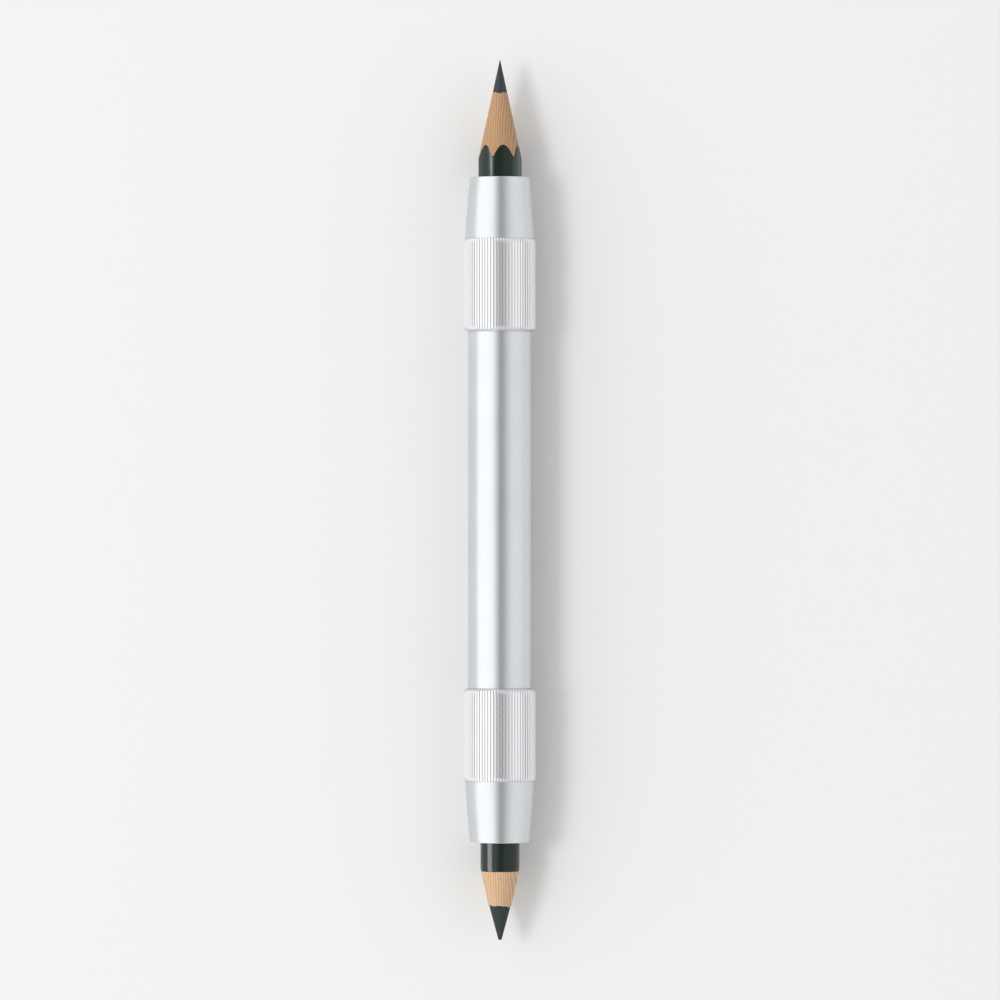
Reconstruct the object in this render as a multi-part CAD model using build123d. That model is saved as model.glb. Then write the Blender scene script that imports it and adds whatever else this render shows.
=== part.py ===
"""Double-ended pencil extender with a short pencil clamped in each end.

Lengths are in millimetres. Each end is built about its own Z axis, which starts at the middle of
the barrel and points out of that end's mouth. The ends are then laid along X: the graphite end
points to +X and the charcoal end to -X. The part lies on its side on the plane z = 0, with the
origin under the middle of its overall length.
"""

import math
import os

from build123d import *

# Graphite pencil, six-sided, its top flat turned a little towards -Y
HEX_ACROSS_FLATS = 7.0
HEX_CORNER_RADIUS = 0.6
HEX_TURN = 10.0
GRAPHITE_LENGTH = 60.0
GRAPHITE_SHOWN = 21.2
GRAPHITE_LEAD_DIAMETER = 2.55
GRAPHITE_TIP_RADIUS = 0.06

# Charcoal pencil, round
ROUND_DIAMETER = 7.07
CHARCOAL_LENGTH = 50.0
CHARCOAL_SHOWN = 17.66
CHARCOAL_CORE_DIAMETER = 3.7
CHARCOAL_BARE_POINT = 5.86
CHARCOAL_WOOD_RIM = 0.15
CHARCOAL_TIP_RADIUS = 0.36

# Both pencils
SHARPENED_HALF_ANGLE = 12.2
LACQUER_THICKNESS = 0.12

# Lengths along the extender
BARREL_SHOWN = 64.4
KNURL_LENGTH = 16.8
NOSE_LENGTH = 11.0
TUBE_UNDER_SLEEVE = 5.8
SPIGOT_LENGTH = 10.0
COLLAR_LENGTH = 0.8
THREAD_LENGTH = 7.5
MOUTH_LAND = 2.0
SLOT_BRIDGE = 3.5

# Wall thicknesses and radial steps, from the pencil outwards
SEAT_DEPTH = 0.6
SEAT_WALL = 0.35
THREAD_DEPTH = 0.45
TUBE_WALL = 0.8
SLEEVE_WALL = 0.55
NOSE_LIP = 1.25
COLLET_FLARE = 0.15

# Taper, thread and key
SEAT_HALF_ANGLE = 8.0
THREAD_PITCH = 1.0
THREAD_CREST = 0.2
THREAD_ROOT = 0.62
THREAD_RELIEF = 1.3
RELIEF_DEPTH = 0.05
RIDGE_SINK = 0.05
KEY_WIDTH = 0.6
KEY_HEIGHT = 0.15
KEY_COUNT = 3

# Knurl and edges
KNURL_RIBS = 72
KNURL_GROOVE = 0.26
KNURL_DEPTH = 0.15
RIM_CHAMFER = 0.35
RIB_RUNOUT = 0.3
NOSE_BULGE = 0.08
LIP_ROUND = 0.2
MOUTH_CHAMFER = 0.15

# Clearances
PASSAGE_CLEARANCE = 0.35
MOUTH_CLEARANCE = 0.25
GRIP_CLEARANCE = 0.03
COLLET_CLEARANCE = 0.05
CHAMBER_CLEARANCE = 0.1
THREAD_CLEARANCE = 0.12
SKIRT_CLEARANCE = 0.1
COLLAR_SETBACK = 0.1
STEP_GAP = 0.3
KEY_CLEARANCE = 0.1

# Radii that follow
HEX_SLOPE = math.cos(math.radians(30))
HEX_CORNER_REACH = HEX_CORNER_RADIUS + (HEX_ACROSS_FLATS / 2 - HEX_CORNER_RADIUS) / HEX_SLOPE
ROUND_R = ROUND_DIAMETER / 2
WIDEST_PENCIL_R = max(HEX_CORNER_REACH, ROUND_R)
BUSH_BORE_R = WIDEST_PENCIL_R + PASSAGE_CLEARANCE
SEAT_MOUTH_R = BUSH_BORE_R + SEAT_DEPTH
THREAD_MINOR_R = SEAT_MOUTH_R + SEAT_WALL
THREAD_MAJOR_R = THREAD_MINOR_R + THREAD_DEPTH
TUBE_R = THREAD_MAJOR_R + COLLAR_SETBACK
TUBE_BORE_R = TUBE_R - TUBE_WALL
SKIRT_R = TUBE_R + SKIRT_CLEARANCE
KNURL_R = SKIRT_R + SLEEVE_WALL
KNURL_ROOT_R = KNURL_R - KNURL_DEPTH
NUT_MINOR_R = THREAD_MINOR_R + THREAD_CLEARANCE
NUT_MAJOR_R = THREAD_MAJOR_R + THREAD_CLEARANCE
RELIEF_R = NUT_MAJOR_R + RELIEF_DEPTH
COLLET_BODY_R = SEAT_MOUTH_R + COLLET_FLARE
CHAMBER_R = COLLET_BODY_R + CHAMBER_CLEARANCE
MOUTH_R = WIDEST_PENCIL_R + MOUTH_CLEARANCE
NOSE_END_R = MOUTH_R + NOSE_LIP

# Places along an end's own axis, from the middle of the barrel
SLEEVE_REAR = BARREL_SHOWN / 2
KNURL_FRONT = SLEEVE_REAR + KNURL_LENGTH
MOUTH = KNURL_FRONT + NOSE_LENGTH
TUBE_END = SLEEVE_REAR + TUBE_UNDER_SLEEVE
COLLAR_END = TUBE_END + COLLAR_LENGTH
BUSH_END = COLLAR_END + THREAD_LENGTH
NUT_REAR = COLLAR_END + STEP_GAP
NUT_FRONT = BUSH_END - STEP_GAP
RELIEF_END = NUT_FRONT + THREAD_RELIEF
SHOULDER_TOP = MOUTH - MOUTH_LAND
SHOULDER_FOOT = SHOULDER_TOP - (CHAMBER_R - MOUTH_R)
SEAT_TAPER = math.tan(math.radians(SEAT_HALF_ANGLE))
SEAT_BOTTOM = BUSH_END - SEAT_DEPTH / SEAT_TAPER
POINT_TAPER = math.tan(math.radians(SHARPENED_HALF_ANGLE))

# Where the ends lie in the part's own frame
AXIS_HEIGHT = KNURL_R
BARREL_MIDDLE_X = (CHARCOAL_SHOWN - GRAPHITE_SHOWN) / 2
MIDDLE = Pos(BARREL_MIDDLE_X, 0, AXIS_HEIGHT)
GRAPHITE_END = MIDDLE * Rot(0, 90, 0)
CHARCOAL_END = MIDDLE * Rot(0, -90, 0)
HEX_TURNED = MIDDLE * Rot(HEX_TURN, 0, 0) * MIDDLE.inverse()
GLUE_PLANE = Plane((0, 0, AXIS_HEIGHT))


def turned(*outline):
    """A solid turned about Z from curves in the XZ plane, given as (radius, height)."""
    return revolve(Plane.XZ * make_face(list(outline)), Axis.Z)


def turned_points(*points):
    """A solid turned about Z from a closed polygon of (radius, height) points."""
    return turned(Polyline(*points, close=True))


def bar(radius, low, high):
    """A round bar about Z between two heights."""
    return Pos(0, 0, low) * Cylinder(radius, high - low, align=(Align.CENTER, Align.CENTER, Align.MIN))


def thread_ridge(minor, major, root, crest, low, high):
    """A right-hand helical ridge about Z between two heights, in stretches of up to a turn."""
    turns = math.ceil((high - low) / THREAD_PITCH)
    rise = (high - low) / turns
    section = Polyline(
        (minor, low - root / 2),
        (major, low - crest / 2),
        (major, low + crest / 2),
        (minor, low + root / 2),
        close=True,
    )
    path = Helix(THREAD_PITCH, rise, minor, center=(0, 0, low))
    stretch = sweep(Plane.XZ * make_face(section), path=path, is_frenet=True)
    twist = 360 * rise / THREAD_PITCH
    return [Pos(0, 0, rise * turn) * Rot(0, 0, twist * turn) * stretch for turn in range(turns)]


def radial_blades(width, inner, outer, low, high, first_angle):
    """Flat blades standing on the axis, spread evenly round it."""
    blade = Pos((inner + outer) / 2, 0, (low + high) / 2) * Box(outer - inner, width, high - low)
    step = 360 / KEY_COUNT
    return [Rot(0, 0, first_angle + step * turn) * blade for turn in range(KEY_COUNT)]


def barrel_tube():
    """The plain tube, which runs a little way under both sleeves."""
    return bar(TUBE_R, -TUBE_END, TUBE_END) - bar(TUBE_BORE_R, -TUBE_END, TUBE_END)


def end_bush():
    """Threaded bush: a spigot pressed into the tube, a collar, the thread and the taper seat."""
    body = turned_points(
        (BUSH_BORE_R, TUBE_END - SPIGOT_LENGTH),
        (TUBE_BORE_R, TUBE_END - SPIGOT_LENGTH),
        (TUBE_BORE_R, TUBE_END),
        (THREAD_MAJOR_R, TUBE_END),
        (THREAD_MAJOR_R, COLLAR_END),
        (THREAD_MINOR_R, COLLAR_END),
        (THREAD_MINOR_R, BUSH_END),
        (SEAT_MOUTH_R, BUSH_END),
        (BUSH_BORE_R, SEAT_BOTTOM),
    )
    ridge = thread_ridge(
        THREAD_MINOR_R - RIDGE_SINK,
        THREAD_MAJOR_R,
        THREAD_ROOT,
        THREAD_CREST,
        COLLAR_END + THREAD_ROOT,
        BUSH_END - THREAD_ROOT,
    )
    keys = radial_blades(
        KEY_WIDTH,
        BUSH_BORE_R - KEY_HEIGHT,
        SEAT_MOUTH_R + SEAT_WALL / 2,
        SEAT_BOTTOM,
        BUSH_END,
        0,
    )
    return body + ridge + keys


def clamp_sleeve():
    """Knurled sleeve with a tapering nose, threaded inside to draw the collet home."""
    nose_middle_r = (KNURL_ROOT_R + NOSE_END_R) / 2 + NOSE_BULGE
    outline = [
        Polyline(
            (SKIRT_R, SLEEVE_REAR),
            (KNURL_R - RIM_CHAMFER, SLEEVE_REAR),
            (KNURL_R, SLEEVE_REAR + RIM_CHAMFER),
            (KNURL_R, KNURL_FRONT - RIB_RUNOUT),
            (KNURL_ROOT_R, KNURL_FRONT),
        ),
        ThreePointArc(
            (KNURL_ROOT_R, KNURL_FRONT),
            (nose_middle_r, (KNURL_FRONT + MOUTH) / 2),
            (NOSE_END_R, MOUTH - LIP_ROUND),
        ),
        RadiusArc(
            (NOSE_END_R, MOUTH - LIP_ROUND),
            (NOSE_END_R - LIP_ROUND, MOUTH),
            -LIP_ROUND,
        ),
        Polyline(
            (NOSE_END_R - LIP_ROUND, MOUTH),
            (MOUTH_R + MOUTH_CHAMFER, MOUTH),
            (MOUTH_R, MOUTH - MOUTH_CHAMFER),
            (MOUTH_R, SHOULDER_TOP),
            (CHAMBER_R, SHOULDER_FOOT),
            (CHAMBER_R, RELIEF_END),
            (RELIEF_R, RELIEF_END),
            (RELIEF_R, NUT_FRONT),
            (NUT_MINOR_R, NUT_FRONT),
            (NUT_MINOR_R, NUT_REAR),
            (SKIRT_R, NUT_REAR),
            (SKIRT_R, SLEEVE_REAR),
        ),
    ]
    groove = thread_ridge(
        THREAD_MINOR_R - RIDGE_SINK,
        NUT_MAJOR_R,
        THREAD_ROOT + 2 * THREAD_CLEARANCE,
        THREAD_CREST + 2 * THREAD_CLEARANCE,
        COLLAR_END + THREAD_ROOT - THREAD_PITCH,
        NUT_FRONT + THREAD_RELIEF / 2,
    )
    return turned(*outline) - groove - knurl_grooves()


def knurl_grooves():
    """The straight V grooves between the sleeve's ribs, one of them lowest where the sleeve rests."""
    notch = Polyline(
        (KNURL_ROOT_R, 0),
        (KNURL_R + KNURL_DEPTH, -KNURL_GROOVE),
        (KNURL_R + KNURL_DEPTH, KNURL_GROOVE),
        close=True,
    )
    prism = Pos(0, 0, SLEEVE_REAR) * extrude(make_face(notch), KNURL_LENGTH)
    step = 360 / KNURL_RIBS
    return [Rot(0, 0, step * turn) * prism for turn in range(KNURL_RIBS)]


def spring_collet(grip_r):
    """Collet slotted from both ends, with a taper for the bush and one for the sleeve's shoulder."""
    tail = SEAT_BOTTOM + STEP_GAP
    tail_r = BUSH_BORE_R + STEP_GAP * SEAT_TAPER - COLLET_CLEARANCE
    flare = tail + (COLLET_BODY_R - tail_r) / SEAT_TAPER
    head = SHOULDER_TOP - COLLET_CLEARANCE
    body = turned_points(
        (grip_r, tail),
        (tail_r, tail),
        (COLLET_BODY_R, flare),
        (COLLET_BODY_R, head - (COLLET_BODY_R - MOUTH_R)),
        (MOUTH_R, head),
        (grip_r, head),
    )
    slot_width = KEY_WIDTH + 2 * KEY_CLEARANCE
    reach = KNURL_R
    rear_slots = radial_blades(slot_width, 0, reach, tail, head - SLOT_BRIDGE, 0)
    front_slots = radial_blades(slot_width, 0, reach, tail + SLOT_BRIDGE, head, 180 / KEY_COUNT)
    return body - rear_slots - front_slots


def hex_section(across_flats, corner_radius):
    """Rounded hexagon with flats square to X."""
    hexagon = RegularPolygon(across_flats / 2, 6, major_radius=False, rotation=30)
    return fillet(hexagon.vertices(), corner_radius)


def hex_bar(inset, low, high):
    """Six-sided pencil bar, set in from the lacquer's outside."""
    section = hex_section(HEX_ACROSS_FLATS - 2 * inset, HEX_CORNER_RADIUS - inset)
    return Pos(0, 0, low) * extrude(section, high - low)


def sharpened(radius, tip_radius, tip):
    """All that a sharpener leaves of a bar: a cone with a rounded tip, and the bar behind it."""
    angle = math.radians(SHARPENED_HALF_ANGLE)
    touch = (tip_radius * math.cos(angle), tip - tip_radius + tip_radius * math.sin(angle))
    shoulder = touch[1] - (radius - touch[0]) / POINT_TAPER
    return turned(
        Polyline((0, tip), (0, 0), (radius, 0), (radius, shoulder), touch),
        RadiusArc(touch, (0, tip), -tip_radius),
    )


def graphite_pencil():
    """The six-sided pencil's lacquer, casing and lead, in its end's frame."""
    tip = MOUTH + GRAPHITE_SHOWN
    rear = tip - GRAPHITE_LENGTH
    lead_r = GRAPHITE_LEAD_DIAMETER / 2
    point = sharpened(WIDEST_PENCIL_R + HEX_CORNER_RADIUS, GRAPHITE_TIP_RADIUS, tip)
    lacquer = (hex_bar(0, rear, tip) - hex_bar(LACQUER_THICKNESS, rear, tip)) & point
    casing = (hex_bar(LACQUER_THICKNESS, rear, tip) - bar(lead_r, rear, tip)) & point
    lead = bar(lead_r, rear, tip) & point
    return lacquer, casing, lead


def charcoal_pencil():
    """The round pencil's lacquer, casing and core, in its end's frame."""
    tip = MOUTH + CHARCOAL_SHOWN
    rear = tip - CHARCOAL_LENGTH
    core_r = CHARCOAL_CORE_DIAMETER / 2
    wood_r = ROUND_R - LACQUER_THICKNESS
    wood_end = tip - CHARCOAL_BARE_POINT
    wood_tip_r = core_r + CHARCOAL_WOOD_RIM
    wood_shoulder = wood_end - (wood_r - wood_tip_r) / POINT_TAPER
    lacquer_edge = wood_end - (ROUND_R - wood_tip_r) / POINT_TAPER
    lacquer = turned_points(
        (wood_r, rear),
        (ROUND_R, rear),
        (ROUND_R, lacquer_edge),
        (wood_r, wood_shoulder),
    )
    casing = turned_points(
        (core_r, rear),
        (wood_r, rear),
        (wood_r, wood_shoulder),
        (wood_tip_r, wood_end),
        (core_r, wood_end),
    )
    return lacquer, casing, charcoal_core(core_r, rear, wood_end, tip)


def charcoal_core(radius, rear, wood_end, tip):
    """The charcoal core with its bare, blunt point."""
    centre = tip - CHARCOAL_TIP_RADIUS
    reach = math.hypot(radius, centre - wood_end)
    lean = math.atan2(radius, centre - wood_end) - math.asin(CHARCOAL_TIP_RADIUS / reach)
    touch = (CHARCOAL_TIP_RADIUS * math.cos(lean), centre + CHARCOAL_TIP_RADIUS * math.sin(lean))
    return turned(
        Polyline((0, tip), (0, rear), (radius, rear), (radius, wood_end), touch),
        RadiusArc(touch, (0, tip), -CHARCOAL_TIP_RADIUS),
    )


def glued_slats(casing):
    """The upper and lower half of a casing that lies level in the part's frame."""
    return split(casing, GLUE_PLANE, keep=Keep.TOP), split(casing, GLUE_PLANE, keep=Keep.BOTTOM)


def build_parts():
    """Every piece by name, in the part's frame."""
    bush = end_bush()
    sleeve = clamp_sleeve()
    lacquer, casing, lead = graphite_pencil()
    round_lacquer, round_casing, core = charcoal_pencil()
    slats = glued_slats(GRAPHITE_END * casing)
    round_slats = glued_slats(CHARCOAL_END * round_casing)
    return {
        "barrel_tube": GRAPHITE_END * barrel_tube(),
        "front_bush": GRAPHITE_END * bush,
        "rear_bush": CHARCOAL_END * bush,
        "front_sleeve": GRAPHITE_END * sleeve,
        "rear_sleeve": CHARCOAL_END * sleeve,
        "front_collet": GRAPHITE_END * spring_collet(HEX_CORNER_REACH + GRIP_CLEARANCE),
        "rear_collet": CHARCOAL_END * spring_collet(ROUND_R + GRIP_CLEARANCE),
        "graphite_lacquer": HEX_TURNED * GRAPHITE_END * lacquer,
        "graphite_slat_top": HEX_TURNED * slats[0],
        "graphite_slat_bottom": HEX_TURNED * slats[1],
        "graphite_lead": GRAPHITE_END * lead,
        "charcoal_lacquer": CHARCOAL_END * round_lacquer,
        "charcoal_slat_top": round_slats[0],
        "charcoal_slat_bottom": round_slats[1],
        "charcoal_core": CHARCOAL_END * core,
    }


def main():
    """Write one STEP file for each piece."""
    os.makedirs("parts", exist_ok=True)
    for name, piece in build_parts().items():
        export_step(piece, f"parts/{name}.step")


if __name__ == "__main__":
    main()
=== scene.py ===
"""Looks of a double-ended pencil extender with a short pencil clamped in each end.

Sizes are in millimetres. Each end is built about its own Z axis, which starts at the middle of the
barrel and points out of that end's mouth, and is then laid along X in its place: the graphite end
points to +X and the charcoal end to -X. The extender lies on a pale table, seen from above.
"""

import logging
import math
from collections.abc import Iterable, Sequence
from dataclasses import dataclass, field
from enum import Enum

import bmesh
import bpy
from mathutils import Matrix, Vector, noise


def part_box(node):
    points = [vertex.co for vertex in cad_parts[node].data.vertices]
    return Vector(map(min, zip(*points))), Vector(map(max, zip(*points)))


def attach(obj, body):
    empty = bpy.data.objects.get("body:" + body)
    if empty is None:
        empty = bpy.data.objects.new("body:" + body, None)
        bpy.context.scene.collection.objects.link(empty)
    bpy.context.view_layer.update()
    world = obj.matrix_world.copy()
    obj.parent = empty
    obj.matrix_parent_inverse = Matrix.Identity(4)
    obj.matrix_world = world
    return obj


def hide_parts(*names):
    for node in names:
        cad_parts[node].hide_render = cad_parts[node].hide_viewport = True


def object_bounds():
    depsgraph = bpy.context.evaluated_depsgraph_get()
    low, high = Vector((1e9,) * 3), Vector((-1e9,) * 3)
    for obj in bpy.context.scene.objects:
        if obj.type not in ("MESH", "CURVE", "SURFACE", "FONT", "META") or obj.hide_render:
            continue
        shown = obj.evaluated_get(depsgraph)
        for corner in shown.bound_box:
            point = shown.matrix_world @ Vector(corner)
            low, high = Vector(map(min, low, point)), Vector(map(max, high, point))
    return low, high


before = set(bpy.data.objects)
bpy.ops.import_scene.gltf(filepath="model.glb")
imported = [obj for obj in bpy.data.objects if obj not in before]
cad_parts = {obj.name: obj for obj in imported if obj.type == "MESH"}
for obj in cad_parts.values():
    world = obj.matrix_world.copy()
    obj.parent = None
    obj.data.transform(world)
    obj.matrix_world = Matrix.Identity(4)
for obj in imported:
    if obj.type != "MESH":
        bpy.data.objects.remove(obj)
cad_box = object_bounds()
log = logging.getLogger("pencil_extender")

MM = 0.001
# The angle from one flat of a six-sided pencil to the next
SIXTH = math.pi / 3

Point = tuple[float, float, float]
# An outline's points, as (radius, height)
Profile = list[tuple[float, float]]
# What goes into a node's inputs, by their names or numbers
Plugs = dict[str | int, object]


class End(Enum):
    """The two ends of the extender, by the way that each points along X."""

    GRAPHITE = 1
    CHARCOAL = -1

    @property
    def stem(self) -> str:
        """What the names of this end's pieces start with."""
        return self.name.lower()

    def placed(self) -> Matrix:
        """Lay the end in its place.

        Returns:
            The matrix from millimetres in the end's own frame to metres in the shared one.
        """
        low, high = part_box("barrel_tube")
        laid = Matrix.Rotation(self.value * math.pi / 2, 4, "Y")
        return Matrix.Translation((low + high) / 2) @ laid @ Matrix.Scale(MM, 4)


class Half(Enum):
    """The two glued halves of a pencil's casing, by the side of the glue that each lies on."""

    TOP = 1
    BOTTOM = -1

    def middle(self, end: End) -> float:
        """The angle of this half's middle about an end's own axis, in radians."""
        return math.pi if self.value == end.value else 0.0


# Small tools


def linear(hex_colour: str) -> tuple[float, float, float, float]:
    """Turn an sRGB hex colour into linear RGBA.

    Args:
        hex_colour: a colour such as "#c79a6d".

    Returns:
        Linear red, green and blue, and an alpha of 1.
    """
    channels = [int(hex_colour[i : i + 2], 16) / 255 for i in (1, 3, 5)]
    red, green, blue = [
        c / 12.92 if c <= 0.04045 else ((c + 0.055) / 1.055) ** 2.4 for c in channels
    ]
    return red, green, blue, 1.0


def plug(node: bpy.types.Node, inputs: Plugs) -> None:
    """Set or link a node's inputs.

    Args:
        node: the node.
        inputs: what goes into each input, by its name or number: a value, a hex colour, another
            node's output, or another node, which stands for its first output in use.
    """
    for key, value in inputs.items():
        named = [socket for socket in node.inputs if socket.enabled and socket.name == key]
        socket = named[0] if named else node.inputs[key]
        if isinstance(value, bpy.types.Node):
            value = next(output for output in value.outputs if output.enabled)
        if isinstance(value, bpy.types.NodeSocket):
            node.id_data.links.new(value, socket)
        else:
            is_colour = isinstance(value, str) and value.startswith("#")
            socket.default_value = linear(value) if is_colour else value


def add(
    tree: bpy.types.NodeTree, kind: str, inputs: Plugs | None = None, **settings: object
) -> bpy.types.Node:
    """Add a node to a tree.

    Args:
        tree: the shader or geometry tree.
        kind: the node's Blender type.
        inputs: what goes into its inputs, as plug takes it.
        **settings: properties of the node itself.

    Returns:
        The new node.
    """
    made = tree.nodes.new(kind)
    for key, value in settings.items():
        setattr(made, key, value)
    plug(made, inputs or {})
    return made


def per_metre(size: float) -> float:
    """How often a pattern of a size in millimetres repeats in a metre."""
    return 1 / (size * MM)


def between(low: float, high: float, share: float) -> float:
    """The value that lies a share of the way from low to high."""
    return low + (high - low) * share


def spread(low: float, high: float, steps: int) -> list[float]:
    """Values from low to high in even steps, with both ends."""
    return [between(low, high, i / steps) for i in range(steps + 1)]


def even_angles(count: int) -> list[float]:
    """Angles spread evenly over a full turn."""
    return [math.tau * i / count for i in range(count)]


def polar(radius: float, angle: float, height: float) -> Point:
    """A point about Z."""
    return radius * math.cos(angle), radius * math.sin(angle), height


def ring_of(radius: float, height: float, angles: Sequence[float]) -> list[Point]:
    """The points of a round ring about Z, or its one point where the radius is nothing."""
    return [polar(radius, a, height) for a in angles] if radius else [(0.0, 0.0, height)]


def arc(
    centre: tuple[float, float], radius: float, start: float, stop: float, steps: int
) -> Profile:
    """Points of a circular arc in a profile.

    Args:
        centre: the arc's centre as (radius, height).
        radius: the arc's own radius.
        start: the first point's angle from the outward direction, in degrees.
        stop: the last point's angle, in degrees.
        steps: how many chords the arc is made of.

    Returns:
        The points as (radius, height).
    """
    turns = [math.radians(a) for a in spread(start, stop, steps)]
    return [(centre[0] + radius * math.cos(a), centre[1] + radius * math.sin(a)) for a in turns]


class Skin:
    """A closed surface that is laid up ring by ring, in an end's own frame."""

    def __init__(self) -> None:
        """Start with no rings."""
        self.mesh = bmesh.new()
        self.rings: list[list[bmesh.types.BMVert]] = []

    def ring(self, points: Iterable[Point]) -> None:
        """Add a ring and join it to the ring before it.

        Args:
            points: the ring's points, or one point for a pole.
        """
        made = [self.mesh.verts.new(point) for point in points]
        if self.rings:
            self.join(self.rings[-1], made)
        self.rings.append(made)

    def join(
        self, low: Sequence[bmesh.types.BMVert], high: Sequence[bmesh.types.BMVert]
    ) -> None:
        """Lay faces between two rings, as triangles where one of them is a pole.

        Args:
            low: the one ring.
            high: the other ring.
        """
        count = max(len(low), len(high))
        for i in range(count):
            j = (i + 1) % count
            before, after = low[i % len(low)], low[j % len(low)]
            corners = (before, after, high[j % len(high)], high[i % len(high)])
            self.mesh.faces.new(list(dict.fromkeys(corners)))

    def close(self) -> None:
        """Join the last ring to the first, as for a piece with a bore."""
        self.join(self.rings[-1], self.rings[0])

    def cap(self, ring: Sequence[bmesh.types.BMVert]) -> None:
        """Close an end whose ring runs out along one arc and back along another.

        Args:
            ring: the ring at that end.
        """
        last = len(ring) - 1
        for i in range(len(ring) // 2 - 1):
            self.mesh.faces.new((ring[i], ring[i + 1], ring[last - i - 1], ring[last - i]))

    def piece(self, name: str, end: End) -> bpy.types.Object:
        """Turn the surface into an object in its place.

        Args:
            name: the piece's name.
            end: the end in whose frame it was laid up.

        Returns:
            The object, at the origin, with its place in its mesh.
        """
        bmesh.ops.recalc_face_normals(self.mesh, faces=self.mesh.faces)
        data = bpy.data.meshes.new(name)
        self.mesh.to_mesh(data)
        self.mesh.free()
        data.transform(end.placed())
        made = bpy.data.objects.new(name, data)
        bpy.context.scene.collection.objects.link(made)
        return made


def turned(
    name: str, end: End, profile: Profile, angles: Sequence[float], bored: bool
) -> bpy.types.Object:
    """Turn a profile about an end's axis.

    Args:
        name: the piece's name.
        end: the end in whose frame the profile is drawn.
        profile: (radius, height) points, all round a wall if bored, else from pole to pole.
        angles: where the rings have their points.
        bored: whether the piece has a hole along its axis.

    Returns:
        The turned piece.
    """
    skin = Skin()
    for radius, height in profile:
        skin.ring(ring_of(radius, height, angles))
    if bored:
        skin.close()
    return skin.piece(name, end)


def smooth(piece: bpy.types.Object, edge_angle: float = 35.0) -> None:
    """Shade a piece smooth, apart from edges sharper than an angle in degrees."""
    piece.data.shade_smooth()
    piece.data.set_sharp_from_angle(angle=math.radians(edge_angle))


# Finishes


@dataclass(frozen=True)
class Finish:
    """A surface finish, named for the real material, and the record's slot that it stands for.

    The roughness runs between two values, or is the first one all over where no pattern drives it.
    The relief is how strongly a pattern shows as a bump, and the relief's depth is its real height.
    """

    name: str
    slot: str
    roughness: tuple[float, float] = (0.5, 0.5)
    relief: float = 0.0
    relief_depth: float = 0.01

    def material(self) -> bpy.types.Material:
        """Make the finish as a Blender material when it is first asked for.

        Returns:
            The material.
        """
        made = bpy.data.materials.get(self.name)
        if made is None:
            made = bpy.data.materials.new(self.name)
            made.use_nodes = True
            plug(made.node_tree.nodes["Principled BSDF"], self.wire(made.node_tree))
        return made

    def wire(self, tree: bpy.types.NodeTree) -> Plugs:
        """Draw the finish's pattern in a tree, and give what goes into the shader's sockets."""
        raise NotImplementedError

    def surface(
        self,
        tree: bpy.types.NodeTree,
        tone: bpy.types.Node,
        height: bpy.types.Node,
        polish: bpy.types.Node | None = None,
    ) -> Plugs:
        """Bring a pattern's tone, gloss and relief together.

        Args:
            tree: the material's tree.
            tone: what gives the colour.
            height: what gives the relief.
            polish: what runs over the range of roughness, if anything does.

        Returns:
            What goes into the shader's sockets.
        """
        gloss, roughest = self.roughness
        if polish is not None:
            ends = {"To Min": gloss, "To Max": roughest}
            gloss = add(tree, "ShaderNodeMapRange", {"Value": polish} | ends)
        raised = {"Height": height, "Strength": self.relief, "Distance": self.relief_depth * MM}
        bump = add(tree, "ShaderNodeBump", raised)
        return {"Base Color": tone, "Roughness": gloss, "Normal": bump}


@dataclass(frozen=True)
class DrawnAluminium(Finish):
    """Drawn aluminium tube, etched satin and clear anodised.

    It gives the eye a pale silver that blurs what it reflects into soft bands along the tube, with
    hairlines from the drawing die. The hairlines are drawn coarser than the real 0.05 mm to show.
    """

    light: str = "#dcdfe2"
    dark: str = "#d4d7da"
    hairline: float = 0.3
    hairline_length: float = 45.0
    cloud: float = 9.0
    roughness: tuple[float, float] = (0.24, 0.29)
    relief: float = 0.06

    def wire(self, tree: bpy.types.NodeTree) -> Plugs:
        """Draw lengthwise hairlines in the gloss and relief, and a faint cloud in the tone.

        Args:
            tree: the material's tree.

        Returns:
            What goes into the shader's sockets.
        """
        place = add(tree, "ShaderNodeTexCoord").outputs["Object"]
        across, along = per_metre(self.hairline), per_metre(self.hairline_length)
        drawn = add(tree, "ShaderNodeMapping", {"Vector": place, "Scale": (along, across, across)})
        hairs = add(tree, "ShaderNodeTexNoise", {"Vector": drawn, "Scale": 1.0, "Detail": 3.0})
        clouds = add(tree, "ShaderNodeTexNoise", {"Vector": place, "Scale": per_metre(self.cloud)})
        tint = {"Factor": clouds, "A": self.dark, "B": self.light}
        tone = add(tree, "ShaderNodeMix", tint, data_type="RGBA")
        return self.surface(tree, tone, hairs, hairs) | {"Metallic": 1.0}


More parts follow.
